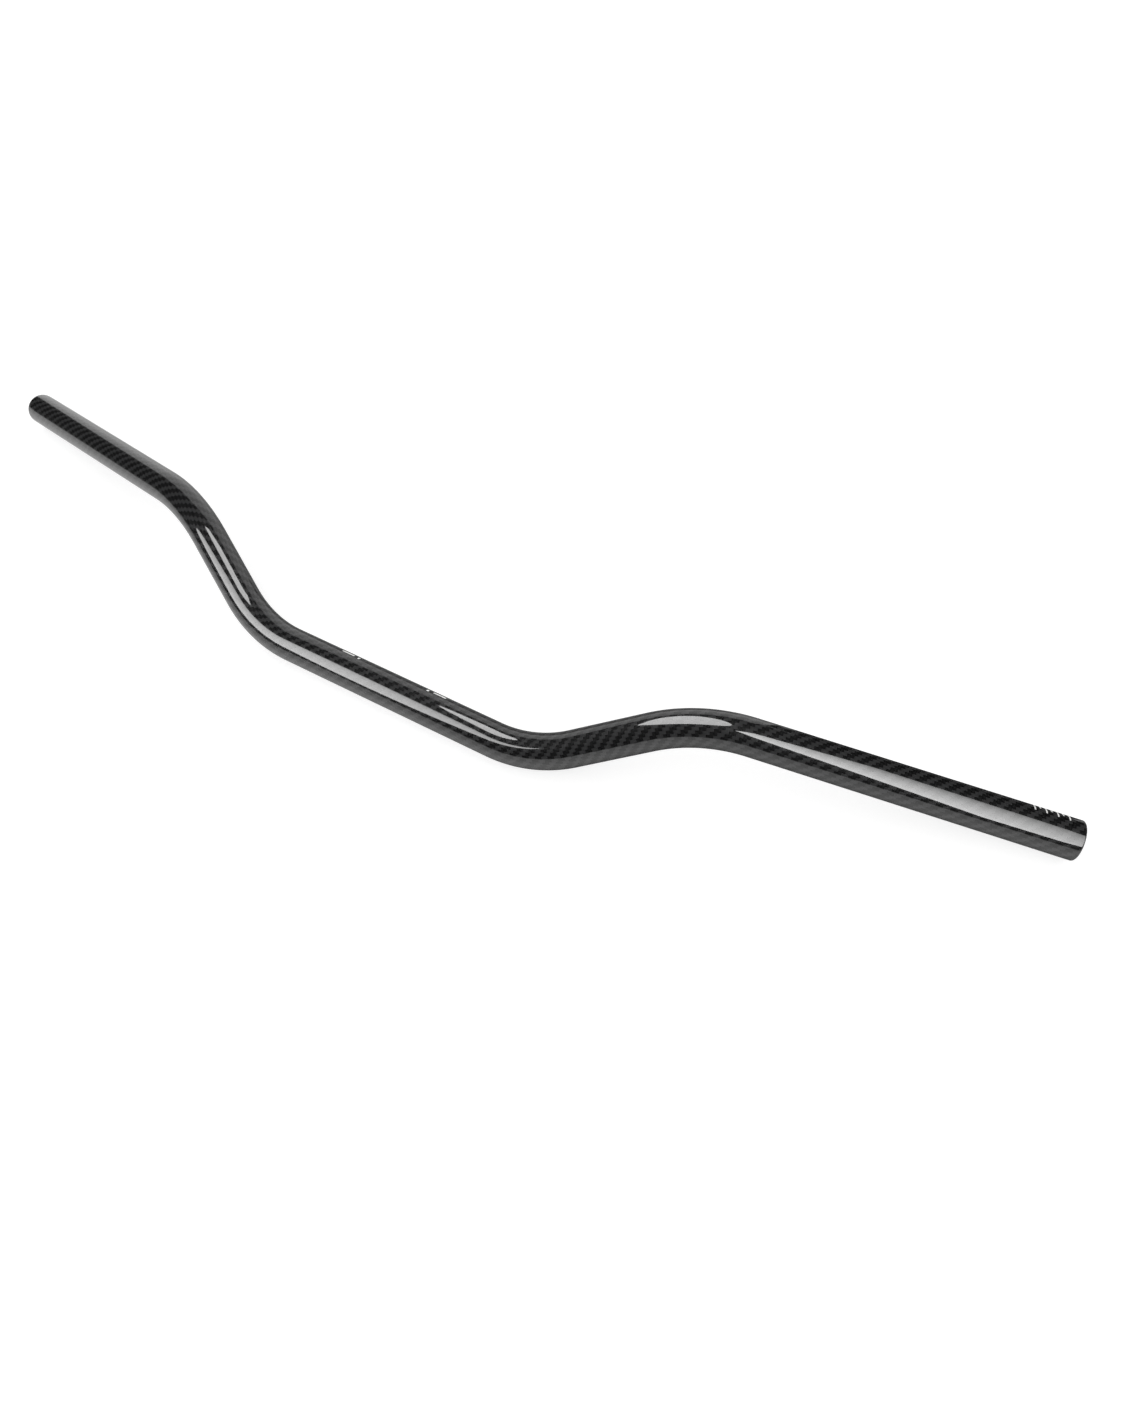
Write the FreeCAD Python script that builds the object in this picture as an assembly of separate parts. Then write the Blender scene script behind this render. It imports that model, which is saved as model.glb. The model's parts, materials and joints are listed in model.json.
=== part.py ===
import FreeCAD, Part
import math
import os

# A riser handlebar: one moulded carbon tube, bent four times, with a square-cut open end at each side.
# It lies on its rear side, on the straight middle and the rims of its two ends.
# The origin is the middle of the bar, on the tube's axis. X runs along the straight middle and Z is up.

# Driving dimensions, in millimetres and degrees
TUBE_DIAMETER = 22.2  # outside, the same from end to end
WALL = 2.5
BAR_WIDTH = 780.0  # along X, between the centres of the two end faces
CLAMP_STRAIGHT = 155.0  # the straight middle, where a stem grips the bar
LEG_STRAIGHT = 48.0  # the straight stretch of each rising leg, between its two bends
RISE_ANGLE = 35.0  # slope of the rising legs against the middle
UPSWEEP = 4.0  # climb of the grips towards their ends, seen from the front
BACKSWEEP = 12.0  # turn of the grips to the rear, seen from above
LOWER_BEND_RADIUS = 85.0  # measured to the tube's axis
UPPER_BEND_RADIUS = 100.0  # measured to the tube's axis
END_ROUNDING = 1.0  # outer edge of each end
BORE_ROUNDING = 0.4  # inner edge of each end

# Sizes that follow
OUTER_RADIUS = TUBE_DIAMETER / 2
BORE_RADIUS = OUTER_RADIUS - WALL
OUTER_EDGE = min(END_ROUNDING, WALL / 2)
BORE_EDGE = min(BORE_ROUNDING, WALL / 4)


def vector(x, y, z):
    return FreeCAD.Vector(x, y, z)


def unit(direction):
    return direction / direction.Length


def setback(radius, before, after):
    """Distance from a corner to the start of its bend, for the directions before and after the corner."""
    return radius * math.tan(before.getAngle(after) / 2)


def half_corners():
    """The corners of the axis from the lower bend to the end face, as ridden: Y to the rear and Z up."""
    slope = math.radians(RISE_ANGLE)
    along_middle = vector(1, 0, 0)
    along_leg = vector(math.cos(slope), 0, math.sin(slope))
    along_grip = vector(1, math.tan(math.radians(BACKSWEEP)), math.tan(math.radians(UPSWEEP)))
    at_lower = setback(LOWER_BEND_RADIUS, along_middle, along_leg)
    at_upper = setback(UPPER_BEND_RADIUS, along_leg, along_grip)
    lower = along_middle * (CLAMP_STRAIGHT / 2 + at_lower)
    upper = lower + along_leg * (at_lower + LEG_STRAIGHT + at_upper)
    end = upper + along_grip * (BAR_WIDTH / 2 - upper.x)
    return lower, upper, end


def lying_turn(end, along_grip):
    """The turn about X that lays the bar on its rear side, with the end rims as low as the middle."""
    reach = math.hypot(end.y, end.z)
    steepness = math.atan2(end.z, end.y)
    end_height = 0.0
    passes = 20  # each pass brings the height of the ends much closer
    for _ in range(passes):
        lean = steepness - math.asin(end_height / reach)
        dip = math.asin(along_grip.z * math.cos(lean) - along_grip.y * math.sin(lean))
        rim = (OUTER_RADIUS - OUTER_EDGE) * math.cos(dip) + OUTER_EDGE * (1 + math.sin(dip))
        end_height = rim - OUTER_RADIUS
    return FreeCAD.Rotation(vector(1, 0, 0), -math.degrees(lean))


def bend(before, corner, after, radius):
    """The arc that rounds a corner between two runs."""
    arriving = unit(corner - before)
    leaving = unit(after - corner)
    back = setback(radius, arriving, leaving)
    inward = unit(leaving - arriving)
    depth = radius / math.cos(arriving.getAngle(leaving) / 2) - radius
    return Part.Arc(corner - arriving * back, corner + inward * depth, corner + leaving * back)


def bar_axis(points, radii):
    """Straight runs through the points, with a tangent arc at each corner."""
    edges = []
    start = points[0]
    for before, corner, after, radius in zip(points, points[1:], points[2:], radii):
        arc = bend(before, corner, after, radius)
        edges.append(Part.LineSegment(start, arc.StartPoint).toShape())
        edges.append(arc.toShape())
        start = arc.EndPoint
    edges.append(Part.LineSegment(start, points[-1]).toShape())
    return Part.Wire(edges)


def tube(axis, start, direction):
    """The ring section at one end, carried along the axis."""
    outer = Part.Wire(Part.makeCircle(OUTER_RADIUS, start, direction))
    bore = Part.Wire(Part.makeCircle(BORE_RADIUS, start, direction))
    return axis.makePipeShell([outer], True, False).cut(axis.makePipeShell([bore], True, False))


def end_edges(shape, ends, radius):
    """The circles of one radius around the centres of the end faces."""
    found = []
    for edge in shape.Edges:
        if not isinstance(edge.Curve, Part.Circle):
            continue
        if abs(edge.Curve.Radius - radius) > Part.Precision.confusion():
            continue
        if min(edge.Curve.Center.distanceToPoint(end) for end in ends) < Part.Precision.confusion():
            found.append(edge)
    return found


lower, upper, end = half_corners()
turn = lying_turn(end, unit(end - upper))
right_side = [turn.multVec(corner) for corner in (lower, upper, end)]
left_side = [vector(-corner.x, corner.y, corner.z) for corner in reversed(right_side)]
corners = left_side + right_side
bend_radii = [UPPER_BEND_RADIUS, LOWER_BEND_RADIUS, LOWER_BEND_RADIUS, UPPER_BEND_RADIUS]
axis = bar_axis(corners, bend_radii)

handlebar = tube(axis, corners[0], corners[1] - corners[0])
ends = [corners[0], corners[-1]]
handlebar = handlebar.makeFillet(OUTER_EDGE, end_edges(handlebar, ends, OUTER_RADIUS))
handlebar = handlebar.makeFillet(BORE_EDGE, end_edges(handlebar, ends, BORE_RADIUS))

os.makedirs("parts", exist_ok=True)
handlebar.exportStep("parts/handlebar.step")

print("rise", round(upper.z, 2), "mm, length along the axis", round(axis.Length, 2), "mm")
print("turned", round(math.degrees(turn.Angle), 3), "degrees to lie, volume", round(handlebar.Volume), "mm3")
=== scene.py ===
# %% [markdown]
# # A carbon riser handlebar
#
# The real bar is one tube. Carbon cloth is laid in a mould around an air bag, pressed out against the mould, cured,
# and coated with clear lacquer. So its outside is smooth as glass, and the weave is seen through the lacquer.
# This lesson carries one ring along the line of the bar, lets the weave follow the tube, prints the white setting
# marks, and lights it all as a small studio would.

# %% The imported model
import json
import math

import bpy
import numpy as np
from mathutils import Matrix, Quaternion, Vector


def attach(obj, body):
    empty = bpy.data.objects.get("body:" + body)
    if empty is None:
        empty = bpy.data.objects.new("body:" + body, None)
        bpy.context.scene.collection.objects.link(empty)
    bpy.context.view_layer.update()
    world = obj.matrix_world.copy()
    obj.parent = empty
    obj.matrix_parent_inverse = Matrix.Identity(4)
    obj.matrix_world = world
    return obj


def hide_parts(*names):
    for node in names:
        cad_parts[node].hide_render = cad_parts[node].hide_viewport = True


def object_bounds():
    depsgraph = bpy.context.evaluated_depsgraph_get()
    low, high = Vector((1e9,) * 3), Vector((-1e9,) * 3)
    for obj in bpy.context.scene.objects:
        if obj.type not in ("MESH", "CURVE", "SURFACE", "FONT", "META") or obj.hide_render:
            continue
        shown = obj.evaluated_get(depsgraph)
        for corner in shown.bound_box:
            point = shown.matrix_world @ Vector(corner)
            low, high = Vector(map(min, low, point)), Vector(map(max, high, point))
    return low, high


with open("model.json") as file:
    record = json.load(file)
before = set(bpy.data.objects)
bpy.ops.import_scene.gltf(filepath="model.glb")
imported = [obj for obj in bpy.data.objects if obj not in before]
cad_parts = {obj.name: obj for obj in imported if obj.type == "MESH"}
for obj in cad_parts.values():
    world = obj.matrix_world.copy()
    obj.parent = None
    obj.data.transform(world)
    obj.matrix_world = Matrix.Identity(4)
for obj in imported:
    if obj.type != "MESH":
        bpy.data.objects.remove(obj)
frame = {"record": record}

cad_box = [list(corner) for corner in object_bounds()]
print("packed box, m:", np.round(cad_box, 4).tolist())

# %% [markdown]
# ## The line of the bar
#
# A bender thinks of a bar as straight runs joined by bends. Half of it has five stretches: half of the straight
# middle, a bend up, the rising leg, a bend out into the grip, and the grip. A drawn curve could stand for this line,
# but its bends would only be nearly round. So we write each stretch as a start point, a direction and, for a bend, the
# side it turns to. Then any distance along the bar gives a point and a direction, for whole arrays of distances at
# once. The other half is the mirror image.

# %% Sizes of the bar, in metres
TUBE_RADIUS = 0.0111
BORE_RADIUS = 0.0086
HALF_WIDTH = 0.390
HALF_MIDDLE = 0.0775
LEG_LENGTH = 0.048
LOWER_BEND = 0.085
UPPER_BEND = 0.100
RISE = math.radians(35)
UPSWEEP = math.radians(4)
BACKSWEEP = math.radians(12)
print("tube, mm:", np.round([2000 * TUBE_RADIUS, 2000 * BORE_RADIUS], 1), "width, mm:", 2000 * HALF_WIDTH)


# %% The bar's directions, as ridden and then laid down
def unit(v):
    """A direction of length one."""
    return np.asarray(v, float) / np.linalg.norm(v)


along_middle = np.array([1.0, 0.0, 0.0])
along_leg = np.array([math.cos(RISE), 0.0, math.sin(RISE)])
along_grip = unit([1.0, math.tan(BACKSWEEP), math.tan(UPSWEEP)])

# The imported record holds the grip's direction as the bar lies, so the turn from ridden to lying is read from it.
grip_mount = next(m for m in frame["record"]["mounts"] if m["name"] == "right_grip")
lean = math.atan2(along_grip[2], along_grip[1]) - math.atan2(grip_mount["axis"][2], grip_mount["axis"][1])
lay_down = np.array([[1, 0, 0], [0, math.cos(lean), math.sin(lean)], [0, -math.sin(lean), math.cos(lean)]])
along_leg, along_grip = lay_down @ along_leg, lay_down @ along_grip
bar_top = lay_down @ np.array([0.0, 0.0, 1.0])  # the side that is on top when the bar is ridden
print("laid down by", round(math.degrees(lean), 3), "degrees; ridden top now points", np.round(bar_top, 3))


# %% The five stretches of half a bar
def stretches():
    """Runs and bends in turn, each as (distance where it starts, start point, direction, inward side, radius)."""
    turn_low = math.acos(along_middle @ along_leg)
    turn_high = math.acos(along_leg @ along_grip)
    inward_low = unit(along_leg - along_middle * math.cos(turn_low))
    inward_high = unit(along_grip - along_leg * math.cos(turn_high))
    p0 = np.zeros(3)
    p1 = p0 + HALF_MIDDLE * along_middle
    p2 = p1 + LOWER_BEND * (math.sin(turn_low) * along_middle + (1 - math.cos(turn_low)) * inward_low)
    p3 = p2 + LEG_LENGTH * along_leg
    p4 = p3 + UPPER_BEND * (math.sin(turn_high) * along_leg + (1 - math.cos(turn_high)) * inward_high)
    grip_length = (HALF_WIDTH - p4[0]) / along_grip[0]
    lengths = [HALF_MIDDLE, LOWER_BEND * turn_low, LEG_LENGTH, UPPER_BEND * turn_high, grip_length]
    starts = np.concatenate([[0.0], np.cumsum(lengths)])
    rows = [
        (starts[0], p0, along_middle, along_middle * 0, np.inf),
        (starts[1], p1, along_middle, inward_low, LOWER_BEND),
        (starts[2], p2, along_leg, along_leg * 0, np.inf),
        (starts[3], p3, along_leg, inward_high, UPPER_BEND),
        (starts[4], p4, along_grip, along_grip * 0, np.inf),
    ]
    return rows, starts


STRETCHES, STARTS = stretches()
HALF_LENGTH = STARTS[-1]
print("stretches start at, mm:", np.round(1000 * STARTS[:-1], 1), "half length, mm:", round(1000 * HALF_LENGTH, 2))


# %% Points and directions on the line
def bar_line(distance):
    """Points and directions at signed distances from the middle of the bar.

    A run is start + distance * direction. A bend of radius r is start + r * (sin(turn) * direction
    + (1 - cos(turn)) * inward), where turn = distance / r. Negative distances mirror x.
    """
    d = np.abs(distance)
    point = np.zeros((len(d), 3))
    ahead = np.zeros((len(d), 3))
    for start, p, t, inward, radius in STRETCHES:
        here = d >= start
        travel = (d[here] - start)[:, None]
        if np.isinf(radius):
            point[here] = p + travel * t
            ahead[here] = t
        else:
            turn = travel / radius
            point[here] = p + radius * (np.sin(turn) * t + (1 - np.cos(turn)) * inward)
            ahead[here] = np.cos(turn) * t + np.sin(turn) * inward
    side = np.where(distance < 0, -1.0, 1.0)[:, None]
    same = np.ones_like(side)
    return point * np.hstack([side, same, same]), ahead * np.hstack([same, side, side])


bar_end = bar_line(np.array([HALF_LENGTH]))[0][0]
print("middle of the right end, mm:", np.round(1000 * bar_end, 2).tolist())


# %% Points on the tube
def ring_sides(ahead):
    """Two sides of the ring at each station: the ridden top made square to the line, and the front beside it."""
    top = bar_top - ahead * (ahead @ bar_top)[:, None]
    top = top / np.linalg.norm(top, axis=1)[:, None]
    return top, np.cross(ahead, top)


def on_tube(distance, radius, turn):
    """Point at a distance along the bar, a radius from its line and a turn from the top towards the front:
    line + radius * (cos(turn) * top + sin(turn) * front). All three are arrays of one shape."""
    point, ahead = bar_line(distance.ravel())
    top, front = ring_sides(ahead)
    r, a = radius.ravel()[:, None], turn.ravel()[:, None]
    return (point + r * (np.cos(a) * top + np.sin(a) * front)).reshape(*distance.shape, 3)


# %% [markdown]
# ## The tube
#
# A lathe hand would draw the wall of the tube as a closed outline: along the outside, over the rounded rim, across the
# cut end, back through the bore and round again. Carried around the line of the bar, that outline gives the whole tube
# as one closed skin, with nothing to weld and no cap to add. A curve with a round bevel would give a tube too, but not
# its wall. Stations stand close together in the bends, where the skin curves both ways, and wide apart on the straight
# runs.

# %% The outline of the wall
RIM_ROUNDING = 0.0010
BORE_ROUNDING = 0.0004
ROUNDING_STEPS = 8
FACE_STEPS = 4
RUN_PITCH = 0.009
BEND_PITCH = 0.0015
OUTSIDE, CUT_END, BORE = 0, 1, 2


def half_stations(last):
    """Distances from the middle of the bar up to the last one, one pitch apart on a run and another in a bend."""
    pitches = [RUN_PITCH, BEND_PITCH, RUN_PITCH, BEND_PITCH, RUN_PITCH]
    spans = zip(STARTS, np.append(STARTS[1:-1], last), pitches)
    parts = [np.linspace(a, b, max(2, round((b - a) / pitch)), endpoint=False) for a, b, pitch in spans]
    return np.append(np.concatenate(parts), last)


def wall_outline():
    """Distance along the bar and radius, once around the wall, and the part of the wall that follows each station.

    A rounding of radius r keeps r * (1 - sin) from its corner one way and r * (1 - cos) the other way.
    """
    quarter = np.linspace(0, np.pi / 2, ROUNDING_STEPS + 1)
    less_sine, less_cosine = 1 - np.sin(quarter), 1 - np.cos(quarter)
    rim = np.stack([HALF_LENGTH - RIM_ROUNDING * less_sine, TUBE_RADIUS - RIM_ROUNDING * less_cosine])
    lip = np.stack([HALF_LENGTH - BORE_ROUNDING * less_cosine, BORE_RADIUS + BORE_ROUNDING * less_sine])
    face = np.linspace(rim[:, -1], lip[:, 0], FACE_STEPS + 1, axis=1)[:, 1:-1]
    end = np.concatenate([rim, face, lip], axis=1)
    end_part = np.repeat([OUTSIDE, CUT_END, BORE], [ROUNDING_STEPS, FACE_STEPS + 1, ROUNDING_STEPS])

    outside = half_stations(HALF_LENGTH - RIM_ROUNDING)[:-1]
    inside = half_stations(HALF_LENGTH - BORE_ROUNDING)[:-1]
    distance = [outside, end[0], inside[::-1], -inside[1:], -end[0][::-1], -outside[:0:-1]]
    outer, inner = np.full_like(outside, TUBE_RADIUS), np.full_like(inside, BORE_RADIUS)
    radius = [outer, end[1], inner, inner[1:], end[1][::-1], outer[1:]]
    skin_part, bore_part = np.full(len(outside), OUTSIDE), np.full(len(inside), BORE)
    left_part = np.append(end_part[-2::-1], OUTSIDE)
    part = [skin_part, end_part, bore_part, bore_part[1:], left_part, skin_part[1:]]
    return np.concatenate(distance), np.concatenate(radius), np.concatenate(part)


wall_distance, wall_radius, wall_part = wall_outline()
print("wall outline:", len(wall_distance), "stations")

# %% The skin of the tube
AROUND = 128


def mesh_piece(name, points, faces):
    """A smooth mesh object at the origin from points and faces."""
    mesh = bpy.data.meshes.new(name)
    mesh.from_pydata(points.reshape(-1, 3).tolist(), [], faces, shade_flat=False)
    piece = bpy.data.objects.new(name, mesh)
    bpy.context.scene.collection.objects.link(piece)
    return piece


def closed_grid(rows, columns):
    """Four corners of each face on a grid that closes on itself both ways: (r, c), (r, c+1), (r+1, c+1), (r+1, c)."""
    index = np.arange(rows * columns).reshape(rows, columns)
    right = np.roll(index, -1, axis=1)
    below_right, below = np.roll(right, -1, axis=0), np.roll(index, -1, axis=0)
    return np.stack([index, right, below_right, below], axis=-1).reshape(-1, 4)


turns = np.linspace(0, 2 * np.pi, AROUND, endpoint=False)
skin = on_tube(*np.broadcast_arrays(wall_distance[:, None], wall_radius[:, None], turns[None, :]))
bar = mesh_piece("bar_tube", skin, closed_grid(len(wall_distance), AROUND).tolist())
print("tube box, mm:", np.round(1000 * skin.min((0, 1)), 2), np.round(1000 * skin.max((0, 1)), 2))

# %% [markdown]
# ## A map for the cloth
#
# The cloth was wrapped around the tube, so its pattern has to follow the tube and not the room. Blender could unwrap
# the mesh, but we know the tube better. Each face corner gets two numbers from 0 to 1: how far along the bar it is, and
# how far around. The count around doesn't fall back to 0 on the last column, so no face is stretched across the join.

# %% Along and around, at each face corner
along = (wall_distance + HALF_LENGTH) / (2 * HALF_LENGTH)
along_corners = np.stack([along, along, np.roll(along, -1), np.roll(along, -1)], axis=1)
around_corners = (np.arange(AROUND)[:, None] + np.array([0, 1, 1, 0])) / AROUND
cloth_map = np.zeros((len(along), AROUND, 4, 2), np.float32)
cloth_map[..., 0] = along_corners[:, None, :]
cloth_map[..., 1] = around_corners[None, :, :]
bar.data.uv_layers.new(name="cloth").data.foreach_set("uv", cloth_map.ravel())

# The outside, the cut ends and the bore each get their own finish.
bar.data.polygons.foreach_set("material_index", np.repeat(wall_part, AROUND).astype(np.int32))
print("faces outside, on the ends and in the bore:", (AROUND * np.bincount(wall_part)).tolist())

# %% [markdown]
# ## The finishes
#
# A finish is a chain of small steps. Each could be clicked together as nodes in the shader editor. Written down, a
# chain is easier to read with a few helpers, which keep it at about one line for each step.

# %% Helpers for any node
def new_finish(name):
    """A material with a fresh Principled shader; returns the material, its node tree and the shader."""
    finish = bpy.data.materials.new(name)
    finish.use_nodes = True
    return finish, finish.node_tree, finish.node_tree.nodes["Principled BSDF"]


def step(tree, kind, values=(), links=(), **settings):
    """One node: settings are its options, values are (socket, number) and links are (socket, output to join)."""
    node = tree.nodes.new(kind)
    for key, value in settings.items():
        setattr(node, key, value)
    for socket, value in values:
        node.inputs[socket].default_value = value
    for socket, output in links:
        tree.links.new(output, node.inputs[socket])
    return node


def sums(tree, operation, *terms):
    """One Math node on outputs and plain numbers; returns its output."""
    values = [(k, t) for k, t in enumerate(terms) if isinstance(t, (int, float))]
    links = [(k, t) for k, t in enumerate(terms) if not isinstance(t, (int, float))]
    return step(tree, "ShaderNodeMath", values, links, operation=operation).outputs[0]


# %% Helpers for patterns
def noise(tree, place, scale, detail):
    """Soft random spots, from 0 to 1, at a place."""
    return step(tree, "ShaderNodeTexNoise", [("Scale", scale), ("Detail", detail)], [("Vector", place)]).outputs[0]


def ranged(tree, value, low, high, start=0.0, end=1.0):
    """A number that goes from low to high while the value goes from start to end, and stays there beyond them."""
    limits = [("From Min", start), ("From Max", end), ("To Min", low), ("To Max", high)]
    return step(tree, "ShaderNodeMapRange", limits, [("Value", value)]).outputs[0]


def two_tones(tree, amount, dark, light):
    """A colour from dark to light as the amount goes from 0 to 1."""
    ramp = step(tree, "ShaderNodeValToRGB", links=[(0, amount)])
    for element, tone in zip(ramp.color_ramp.elements, (dark, light)):
        element.color = (*tone, 1)
    return ramp.outputs[0]


def bumps(tree, height, strength, depth):
    """A surface direction that tilts as if the height, times a depth in metres, stood out of it."""
    return step(tree, "ShaderNodeBump", [("Strength", strength), ("Distance", depth)], [("Height", height)]).outputs[0]


# %% [markdown]
# ### Twill-woven carbon under lacquer
#
# In this cloth each flat bundle of fibres passes over two bundles and under two, and each row starts one step further
# on. That makes the slanted ribs of twill. With i bundles counted along the bar and j around it, the lengthwise bundle
# is on top where (i + j) modulo 4 is 0 or 1. On its way over two others a bundle rises and dips like half a sine wave,
# and fine fibre streaks run along it. A picture of cloth could be wrapped on, but counted bundles stay sharp from near
# by. The lacquer is a clear coat with a smooth surface of its own, so only the cloth below it gets the bumps.

# %% The weave, counted in bundles
BUNDLE = 0.00194
BUNDLES_AROUND = 36
BUNDLES_ALONG = round(2 * HALF_LENGTH / BUNDLE)
TWILL_REPEAT = 4.0
print("bundles around and along:", BUNDLES_AROUND, BUNDLES_ALONG)

carbon, cloth, lacquered = new_finish("lacquered_twill_carbon")
cloth_uv = step(cloth, "ShaderNodeUVMap", uv_map="cloth").outputs[0]
uv = step(cloth, "ShaderNodeSeparateXYZ", links=[(0, cloth_uv)])
count_along = sums(cloth, "MULTIPLY", uv.outputs[0], float(BUNDLES_ALONG))
count_around = sums(cloth, "MULTIPLY", uv.outputs[1], float(BUNDLES_AROUND))
i, j = sums(cloth, "FLOOR", count_along), sums(cloth, "FLOOR", count_around)
place_in_twill = sums(cloth, "FLOORED_MODULO", sums(cloth, "ADD", i, j), TWILL_REPEAT)
lengthwise = sums(cloth, "LESS_THAN", place_in_twill, 1.5)  # places 0 and 1 of the four

# %% Rise and dip of the bundle on top
RISE_SHARE = 0.65
CROWN_SHARE = 0.35


def crown(across):
    """Height across a bundle: 1 - (2 f - 1)^2 for the fraction f of its width."""
    centred = sums(cloth, "MULTIPLY_ADD", sums(cloth, "FRACT", across), 2.0, -1.0)
    return sums(cloth, "SUBTRACT", 1.0, sums(cloth, "MULTIPLY", centred, centred))


def over_two(travel, shift, late):
    """Height along a bundle that passes over two others: sin(pi * share of the way)."""
    way = sums(cloth, "FLOORED_MODULO", sums(cloth, "ADD", travel, shift), TWILL_REPEAT)
    return sums(cloth, "SINE", sums(cloth, "MULTIPLY", sums(cloth, "SUBTRACT", way, late), math.pi / 2))


def bundle_height(travel, shift, late, across):
    """A share of the rise along the bundle and a share of the crown across it, added up."""
    crown_part = sums(cloth, "MULTIPLY", crown(across), CROWN_SHARE)
    return sums(cloth, "MULTIPLY_ADD", over_two(travel, shift, late), RISE_SHARE, crown_part)


height_along = bundle_height(count_along, j, 0.0, count_around)
height_around = bundle_height(count_around, i, 2.0, count_along)
height = step(cloth, "ShaderNodeMix", links=[(0, lengthwise), (2, height_around), (3, height_along)]).outputs[0]

# %% Fibre streaks along each bundle
FIBRES_PER_BUNDLE = 7.0
FIBRE_STRETCH = 0.4


def streaks(scale_along, scale_around):
    """Noise drawn out along one direction of the cloth, as fibres are."""
    x, y = sums(cloth, "MULTIPLY", count_along, scale_along), sums(cloth, "MULTIPLY", count_around, scale_around)
    drawn_out = step(cloth, "ShaderNodeCombineXYZ", links=[(0, x), (1, y)]).outputs[0]
    return noise(cloth, drawn_out, scale=1.0, detail=2.0)


across_bar = streaks(FIBRES_PER_BUNDLE, FIBRE_STRETCH)
along_bar = streaks(FIBRE_STRETCH, FIBRES_PER_BUNDLE)
fibres = step(cloth, "ShaderNodeMix", links=[(0, lengthwise), (2, across_bar), (3, along_bar)]).outputs[0]

# %% Colour with painted sheen and painted shading, and lacquer of the carbon
LENGTHWISE_PAINTED_SHEEN = 0.65
HEIGHT_PAINTED_SHADING = 0.28
FIBRE_TONE = 0.38
DARKER = 0.22
FIBRE_RELIEF = 0.12
# The colour holds painted light. Lengthwise bundles are painted lighter, a painted sheen of fibres that catch the
# light, and each bundle is painted lighter where it rises, a painted shading. The fibre streaks add the cloth's own
# random tone.
painted_sheen_shading_and_tone = sums(
    cloth, "ADD", sums(cloth, "MULTIPLY", lengthwise, LENGTHWISE_PAINTED_SHEEN), sums(cloth, "MULTIPLY", height, HEIGHT_PAINTED_SHADING))
painted_sheen_shading_and_tone = sums(cloth, "MULTIPLY_ADD", fibres, FIBRE_TONE, sums(cloth, "SUBTRACT", painted_sheen_shading_and_tone, DARKER))
carbon_tone_and_painted_sheen = two_tones(cloth, painted_sheen_shading_and_tone, dark=(0.0006, 0.0006, 0.0007), light=(0.036, 0.036, 0.0368))
cloth.links.new(carbon_tone_and_painted_sheen, lacquered.inputs["Base Color"])
cloth.links.new(ranged(cloth, fibres, low=0.30, high=0.46), lacquered.inputs["Roughness"])
relief = sums(cloth, "MULTIPLY_ADD", fibres, FIBRE_RELIEF, height)
cloth.links.new(bumps(cloth, relief, strength=0.5, depth=0.00012), lacquered.inputs["Normal"])
lacquered.inputs["Specular IOR Level"].default_value = 0.04
lacquered.inputs["Coat Weight"].default_value = 1.0
lacquered.inputs["Coat Roughness"].default_value = 0.025
lacquered.inputs["Coat IOR"].default_value = 1.5
print("carbon finish:", len(cloth.nodes), "nodes")

# %% [markdown]
# ### The cut end and the bore
#
# The ends are sawn square and sanded. There the layers of cloth show as thin rings in dull resin. Inside, the air bag
# leaves a dull, slightly rippled skin. Neither is lacquered. The rings count the distance from the middle of the end,
# and the ripples follow the map of the tube, so neither slides when the bar is moved.

# %% Sanded laminate
CLOTH_LAYER = 0.00042
RING_SHARE = 0.2
GRIT_SHARE = 0.6
sanded, laminate, sanded_shader = new_finish("sanded_laminate_end")
spot = step(laminate, "ShaderNodeTexCoord").outputs["Object"]
grit = noise(laminate, spot, scale=2600.0, detail=3.0)

# Both ends are alike, so a spot on the left end counts as its mirror image on the right end.
xyz = step(laminate, "ShaderNodeSeparateXYZ", links=[(0, spot)])
right_x = sums(laminate, "ABSOLUTE", xyz.outputs[0])
right_spot = step(laminate, "ShaderNodeCombineXYZ", links=[(0, right_x), (1, xyz.outputs[1]), (2, xyz.outputs[2])])
from_middle = step(
    laminate, "ShaderNodeVectorMath", [(1, bar_end.tolist())], [(0, right_spot.outputs[0])], operation="DISTANCE")
layers = sums(laminate, "MULTIPLY", from_middle.outputs["Value"], 2 * math.pi / CLOTH_LAYER)
rings = sums(laminate, "MULTIPLY_ADD", sums(laminate, "SINE", layers), RING_SHARE, RING_SHARE)

mixed = sums(laminate, "MULTIPLY_ADD", grit, GRIT_SHARE, rings)
end_tone = two_tones(laminate, mixed, dark=(0.010, 0.010, 0.011), light=(0.060, 0.059, 0.058))
laminate.links.new(end_tone, sanded_shader.inputs["Base Color"])
laminate.links.new(ranged(laminate, grit, low=0.45, high=0.7), sanded_shader.inputs["Roughness"])
laminate.links.new(bumps(laminate, grit, strength=0.25, depth=0.00003), sanded_shader.inputs["Normal"])
print("layers of cloth in the wall:", round((TUBE_RADIUS - BORE_RADIUS) / CLOTH_LAYER, 1))

# %% Bag-moulded inside
RIPPLES = (60.0, 9.0, 1.0)  # along the bore, around it, and none across its wall
inside_finish, bag, bag_shader = new_finish("bag_moulded_bore")
bag_uv = step(bag, "ShaderNodeUVMap", uv_map="cloth").outputs[0]
drawn_out = step(bag, "ShaderNodeMapping", [("Scale", RIPPLES)], [("Vector", bag_uv)]).outputs[0]
ripple = noise(bag, drawn_out, scale=3.0, detail=4.0)
resin_tone = two_tones(bag, ripple, dark=(0.008, 0.008, 0.008), light=(0.030, 0.029, 0.028))
bag.links.new(resin_tone, bag_shader.inputs["Base Color"])
bag.links.new(ranged(bag, ripple, low=0.4, high=0.65), bag_shader.inputs["Roughness"])
bag.links.new(bumps(bag, ripple, strength=0.4, depth=0.0003), bag_shader.inputs["Normal"])

for finish in (carbon, sanded, inside_finish):
    bar.data.materials.append(finish)
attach(bar, "root")
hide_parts("handlebar")
print("bar finishes:", [m.name for m in bar.data.materials])

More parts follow.
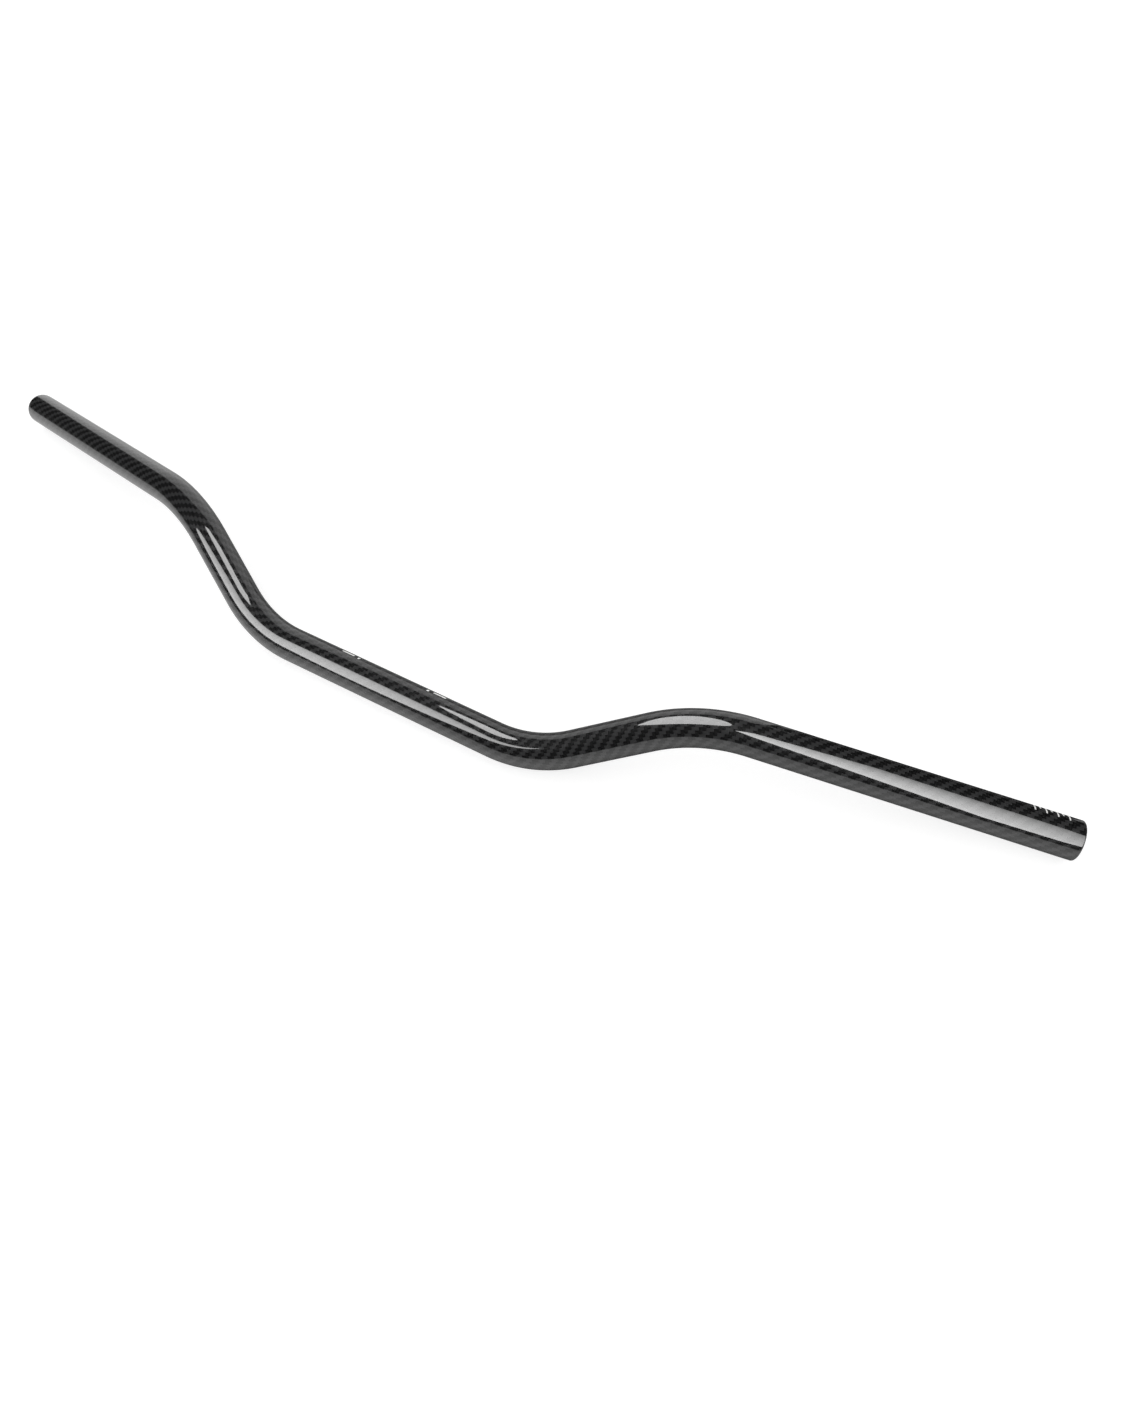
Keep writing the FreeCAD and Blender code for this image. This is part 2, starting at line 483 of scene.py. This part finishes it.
# %% [markdown]
# ## Printed marks
#
# White lines across the top of the right grip, beside its end, show where to saw when the bar is cut narrower. Long
# ones and short ones take turns. A dot and a dash on each side of the middle help to set the bar straight in its stem.
# The marks could be drawn in the carbon's own finish, but print has a little thickness. So each mark is a thin closed
# strip that stands a hair above the lacquer and follows its curve: a small outline carried around the tube.

# %% White ink
white_ink, print_tree, ink_shader = new_finish("printed_white_ink")
ink_spot = step(print_tree, "ShaderNodeTexCoord").outputs["Object"]
cover = noise(print_tree, ink_spot, scale=3000.0, detail=2.0)
ink_tone = two_tones(print_tree, cover, dark=(0.76, 0.76, 0.75), light=(0.92, 0.92, 0.91))
print_tree.links.new(ink_tone, ink_shader.inputs["Base Color"])
print_tree.links.new(ranged(print_tree, cover, low=0.35, high=0.55), ink_shader.inputs["Roughness"])
print("ink:", len(print_tree.nodes), "nodes")

# %% Strips of ink
INK = 0.000025
CORNER = 0.00008
STRIP_STATIONS = 25


def ink_strips(name, middle, width, turn_middle, turn_width):
    """Strips on the tube, one for each entry of the four arrays, in metres along the bar and radians from the top.

    The outline of a strip is a flat box with cut corners in distance and radius. Each strip is that outline, carried
    from turn_middle - turn_width / 2 to turn_middle + turn_width / 2, and closed by the outline at both ends.
    """
    given = (middle, width, turn_middle, turn_width)
    middle, width, turn_middle, turn_width = (np.asarray(v, float)[:, None, None] for v in given)
    turn = turn_middle + turn_width * np.linspace(-0.5, 0.5, STRIP_STATIONS)[None, None, :]
    half = np.array([-1, -1, 1, 1, 1, -1])[None, :, None] * width / 2
    inset = np.array([0, 1, -1, 0, 0, 0])[None, :, None] * CORNER
    lift = np.array([0.2, 1, 1, 0.2, -1, -1])[None, :, None] * INK
    points = on_tube(*np.broadcast_arrays(middle + half + inset, TUBE_RADIUS + lift, turn))

    index = np.arange(points[..., 0].size).reshape(points.shape[:-1])
    after = np.roll(index, -1, axis=1)
    sides = np.stack([index[:, :, :-1], index[:, :, 1:], after[:, :, 1:], after[:, :, :-1]], axis=-1).reshape(-1, 4)
    piece = mesh_piece(name, points, sides.tolist() + index[:, :, 0].tolist() + index[:, ::-1, -1].tolist())
    piece.data.materials.append(white_ink)
    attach(piece, "root")
    return piece


# %% Sawing marks at the right end
FIRST_MARK = 0.0087
MARK_PITCH = 0.0030
MARK_WIDTH = 0.0008
MARK_COUNT = 7
LONG_REACH, SHORT_REACH = 54.0, 25.0
mark_number = np.arange(MARK_COUNT)
mark_distance = HALF_LENGTH - FIRST_MARK - MARK_PITCH * mark_number
mark_reach = np.radians(np.where(mark_number % 2 == 0, LONG_REACH, SHORT_REACH))
sawing_marks = ink_strips(
    "sawing_marks", mark_distance, np.full(MARK_COUNT, MARK_WIDTH), np.zeros(MARK_COUNT), mark_reach)
print("sawing marks, mm from the end:", np.round(1000 * (HALF_LENGTH - mark_distance), 1))

# %% Setting marks beside the middle
dot_and_dash = np.array([0.0265, 0.0350])
dot_and_dash_width = np.array([0.0016, 0.0090])
dot_and_dash_turn = np.radians([12.0, 9.0])
dot_and_dash_reach = np.array([0.0020, 0.0016]) / TUBE_RADIUS
setting_marks = ink_strips(
    "setting_marks",
    np.concatenate([dot_and_dash, -dot_and_dash]),
    np.tile(dot_and_dash_width, 2),
    np.tile(dot_and_dash_turn, 2),
    np.tile(dot_and_dash_reach, 2),
)
print("marks:", [(m.name, len(m.data.polygons)) for m in (sawing_marks, setting_marks)])

# %% [markdown]
# ## The floor
#
# The bar lies on a light table: a milky sheet that glows by itself, so the shadows on it stay pale. One flat grid is
# enough, as there is nothing to see but its tone. The gloss doesn't see it. What the bar mirrors from below is made by
# the room and by cards, which can be set much more finely than a floor.

# %% Pale floor
FLOOR_HEIGHT = cad_box[0][2]
FLOOR_REACH = 6.0
FLOOR_LINES = 13
FLOOR_GLOW = 0.76
edges = np.linspace(-FLOOR_REACH, FLOOR_REACH, FLOOR_LINES)
floor_x, floor_y = np.meshgrid(edges, edges)
floor_points = np.stack([floor_x, floor_y, np.full_like(floor_x, FLOOR_HEIGHT)], axis=-1)
cells = np.arange(FLOOR_LINES * FLOOR_LINES).reshape(FLOOR_LINES, FLOOR_LINES)
floor_faces = np.stack([cells[:-1, :-1], cells[:-1, 1:], cells[1:, 1:], cells[1:, :-1]], axis=-1).reshape(-1, 4)
floor = mesh_piece("studio_floor", floor_points, floor_faces.tolist())
floor.visible_glossy = False
print("floor at", round(1000 * FLOOR_HEIGHT, 2), "mm")

# %% Tone and glow of the floor
paper, paper_tree, paper_shader = new_finish("pale_paper")
paper_spot = step(paper_tree, "ShaderNodeTexCoord").outputs["Object"]
paper_grain = noise(paper_tree, paper_spot, scale=9.0, detail=3.0)
paper_tone = two_tones(paper_tree, paper_grain, dark=(0.42, 0.42, 0.42), light=(0.44, 0.44, 0.44))
paper_tree.links.new(paper_tone, paper_shader.inputs["Base Color"])
paper_shader.inputs["Roughness"].default_value = 0.9
paper_shader.inputs["Specular IOR Level"].default_value = 0.0
paper_shader.inputs["Emission Color"].default_value = (1, 1, 1, 1)
paper_shader.inputs["Emission Strength"].default_value = FLOOR_GLOW
floor.data.materials.append(paper)
print("floor finish:", floor.data.materials[0].name)

# %% [markdown]
# ## The room
#
# A black glossy tube shows mostly what stands around it, so the room is made for its reflections. A pale band around
# the room gives the grey edges, the dark ceiling keeps the weave black, and the far left is a little dimmer and has a
# lower ceiling. A picture of a real studio could do this too, but a few ranges over the direction that is looked in
# are easier to fit. The camera itself sees a plain pale backdrop.

# %% Pale band and dark ceiling
FAR_LEFT = (-0.88, -0.75)
CEILING_BLUR = (-0.025, 0.025)
PALE_RANGE = (-0.9, -0.2)
UP_AND_FORWARD = (0.0, -0.3, 1.0)
BACKDROP = 0.92
room = bpy.data.worlds.new("studio_room")
bpy.context.scene.world = room
room.use_nodes = True
room_tree = room.node_tree
look = step(room_tree, "ShaderNodeTexCoord").outputs["Generated"]
towards = step(room_tree, "ShaderNodeSeparateXYZ", links=[(0, look)])

ceiling_edge = ranged(room_tree, towards.outputs[0], 0.06, 0.22, *FAR_LEFT)  # lower at the far left
climb = sums(room_tree, "SUBTRACT", towards.outputs[2], ceiling_edge)
below_ceiling = ranged(room_tree, climb, 1.0, 0.02, *CEILING_BLUR)
lift = step(room_tree, "ShaderNodeVectorMath", [(1, UP_AND_FORWARD)], [(0, look)], operation="DOT_PRODUCT")
pale = ranged(room_tree, lift.outputs["Value"], 0.18, 1.35, *PALE_RANGE)
left_dim = ranged(room_tree, towards.outputs[0], 0.80, 1.0, *FAR_LEFT)
mirrored = sums(room_tree, "MULTIPLY", sums(room_tree, "MULTIPLY", pale, below_ceiling), left_dim)

# The gloss sees the band and the ceiling, and the camera sees the backdrop.
to_camera = step(room_tree, "ShaderNodeLightPath").outputs["Is Camera Ray"]
brightness = step(room_tree, "ShaderNodeMix", [(3, BACKDROP)], [(0, to_camera), (2, mirrored)]).outputs[0]
room_tree.links.new(brightness, room_tree.nodes["Background"].inputs["Strength"])
room_tree.nodes["Background"].inputs["Color"].default_value = (1, 1, 1, 1)
print("room:", len(room_tree.nodes), "nodes")

# %% [markdown]
# ## The softboxes
#
# A softbox is a lamp behind a white cloth, and each bright strip on the bar is the mirror image of one. Glowing cards
# could stand in for them, but an area light is round or square as needed, and shines to one side only. One softbox
# stands close by on the left, two hang above the bar and one stands to the right. They only show in the gloss. One
# wide soft light overhead lights everything else, and isn't mirrored.


# %% A softbox
def softbox(name, shape, centre, away, turn, size, bright, slope=(0.0, 0.0)):
    """A flat light at a centre, facing against the direction away, turned about it by some degrees.

    Its brightness is bright * (1 + slope_x * x + slope_y * y), where x and y go from -1 to 1 across it.
    """
    n = unit(away)
    level = unit(np.cross([0, 0, 1], n))
    raised = np.cross(n, level)
    c, s = math.cos(math.radians(turn)), math.sin(math.radians(turn))
    axes = np.stack([c * level + s * raised, c * raised - s * level, n], axis=1)
    lamp = bpy.data.lights.new(name, "AREA")
    lamp.shape, lamp.size, lamp.size_y = shape, size[0], size[1]
    area = size[0] * size[1] * (math.pi / 4 if shape == "ELLIPSE" else 1)
    lamp.energy = math.pi * area * bright
    lamp.use_nodes = True
    tree = lamp.node_tree
    from_corner = step(tree, "ShaderNodeNewGeometry").outputs["Parametric"]
    across = step(tree, "ShaderNodeSeparateXYZ", links=[(0, from_corner)])
    x, y = (sums(tree, "MULTIPLY_ADD", across.outputs[k], 2.0 * slope[k], -slope[k]) for k in range(2))
    tree.links.new(sums(tree, "ADD", sums(tree, "ADD", x, y), 1.0), tree.nodes["Emission"].inputs["Strength"])
    stand = bpy.data.objects.new(name, lamp)
    stand.matrix_world = Matrix.Translation(centre) @ Matrix(axes.tolist()).to_4x4()
    stand.visible_camera = False
    bpy.context.scene.collection.objects.link(stand)
    return stand


# %% Softboxes for the strips, and a light for the floor
left_box = softbox(
    "softbox_left", "ELLIPSE", centre=(-0.108, -0.037, 0.129), away=(-0.053, -0.995, 0.084), turn=73.6,
    size=(0.184, 0.320), bright=8.3, slope=(-0.3, -0.06))
high_box = softbox(
    "softbox_high", "RECTANGLE", centre=(-0.120, 0.216, 0.582), away=(0.769, 0.048, 0.638), turn=117.4,
    size=(0.271, 0.223), bright=10.0)
above_box = softbox(
    "softbox_above", "ELLIPSE", centre=(0.057, 0.124, 0.2315), away=(0.044, 0.068, 0.997), turn=101.4,
    size=(0.200, 0.297), bright=10.0)
right_box = softbox(
    "softbox_right", "RECTANGLE", centre=(0.476, 0.041, 0.368), away=(0.762, -0.116, 0.637), turn=-19.2,
    size=(0.406, 0.515), bright=8.8, slope=(-0.57, -0.03))
strips = [left_box, high_box, above_box, right_box]
for box in strips:
    box.visible_diffuse = False

floor_light = softbox(
    "floor_light", "RECTANGLE", centre=(0.0, 0.3, 2.4), away=(0.0, 0.05, 1.0), turn=0.0, size=(6.0, 6.0), bright=1.2)
floor_light.visible_glossy = False
print("lights:", [(o.name, round(o.data.energy, 1)) for o in (*strips, floor_light)])

# %% [markdown]
# ### Cards around the bar
#
# Photographers shape the edges of a shiny thing with cards. A pale card stands behind the left and the middle of the
# bar, and a low black card behind its right grip. A grey card and a black card lie on the floor behind the bar, so its
# far edge stands out dark against the pale floor. The softbox just above the bar has a black back, so the higher one
# doesn't shine through it. The cards only show in the gloss, never to the camera.

# %% A card that only shows in the gloss
def gloss_card(name, corners, glow):
    """A flat card with the given corners that glows a little, and that only the gloss can see."""
    card = mesh_piece(name, np.array(corners), [list(range(len(corners)))])
    finish, tree, shader = new_finish(name)
    shader.inputs["Base Color"].default_value = (0.005, 0.005, 0.005, 1)
    shader.inputs["Roughness"].default_value = 1.0
    shader.inputs["Specular IOR Level"].default_value = 0.0
    shader.inputs["Emission Color"].default_value = (1, 1, 1, 1)
    shader.inputs["Emission Strength"].default_value = glow
    card.data.materials.append(finish)
    card.visible_camera = card.visible_diffuse = card.visible_shadow = False
    return card


# %% Outlines of the cards
CARD_LIFT = 0.0003
CARD_POINTS = 16
BACK_DEPTH = 0.004
BACK_POINTS = 48


def standing(behind, top_edge):
    """Corners of an upright card, from the floor to a top edge given by (x, z) points from left to right."""
    left, right = top_edge[0][0], top_edge[-1][0]
    outline = [(left, FLOOR_HEIGHT), (right, FLOOR_HEIGHT), *top_edge[::-1]]
    return [(x, behind, z) for x, z in outline]


def lying(first, last, behind):
    """Corners of a card on the floor: its front edge lies under the bar between two distances along it, and its back
    edge is straight."""
    front = [(x, y) for x, y, z in bar_line(np.linspace(first, last, CARD_POINTS))[0].tolist()]
    outline = [*front, (front[-1][0], behind), (front[0][0], behind)]
    return [(x, y, FLOOR_HEIGHT + CARD_LIFT) for x, y in outline]


def back_of(box):
    """Corners of an ellipse a little behind a softbox, as its black back."""
    ring = np.linspace(0, 2 * np.pi, BACK_POINTS, endpoint=False)
    x, y = box.data.size / 2 * np.cos(ring), box.data.size_y / 2 * np.sin(ring)
    local = np.stack([x, y, np.full_like(x, BACK_DEPTH), np.ones_like(x)])
    return (np.array(box.matrix_world) @ local)[:3].T


# %% The cards
pale_edge = [(-0.62, 0.0), (-0.40, 0.19), (-0.26, 0.22), (-0.13, 0.15), (0.21, 0.10)]
low_edge = [(0.215, 0.05), (0.70, 0.05)]
cards = [
    gloss_card("pale_card", standing(behind=0.20, top_edge=pale_edge), glow=1.15),
    gloss_card("black_card", standing(behind=0.15, top_edge=low_edge), glow=0.0),
    gloss_card("grey_floor_card", lying(first=-0.125, last=0.195, behind=0.195), glow=0.24),
    gloss_card("black_floor_card", lying(first=0.245, last=HALF_LENGTH, behind=0.145), glow=0.03),
    gloss_card("softbox_back", back_of(above_box), glow=0.0),
]
print("cards:", [card.name for card in cards])

# %% [markdown]
# ## The camera
#
# The camera looks down on the bar from its front right. Its place, the point that it looks at and its tilt were found
# by fitting the outline of the bar. The picture is 1122 by 1402, so the long side is the height and the lens is worked
# out for that side.

# %% Camera
PICTURE_HEIGHT = 1402
FOCAL_PIXELS = 1007.7
SENSOR = 36.0
eye = Vector((0.300987, -0.142061, 0.544955))
looked_at = Vector((0.102123, 0.039529, 0.0))
tilt = math.radians(-20.43)

camera = bpy.data.objects.new("camera", bpy.data.cameras.new("camera"))
camera.data.sensor_width = SENSOR
camera.data.lens = SENSOR * FOCAL_PIXELS / PICTURE_HEIGHT
camera.rotation_mode = "QUATERNION"
camera.location = eye
camera.rotation_quaternion = (looked_at - eye).to_track_quat("-Z", "Y") @ Quaternion((0, 0, 1), tilt)
bpy.context.scene.collection.objects.link(camera)
bpy.context.scene.camera = camera
bpy.context.scene.view_settings.view_transform = "Standard"
print("lens, mm:", round(camera.data.lens, 3))
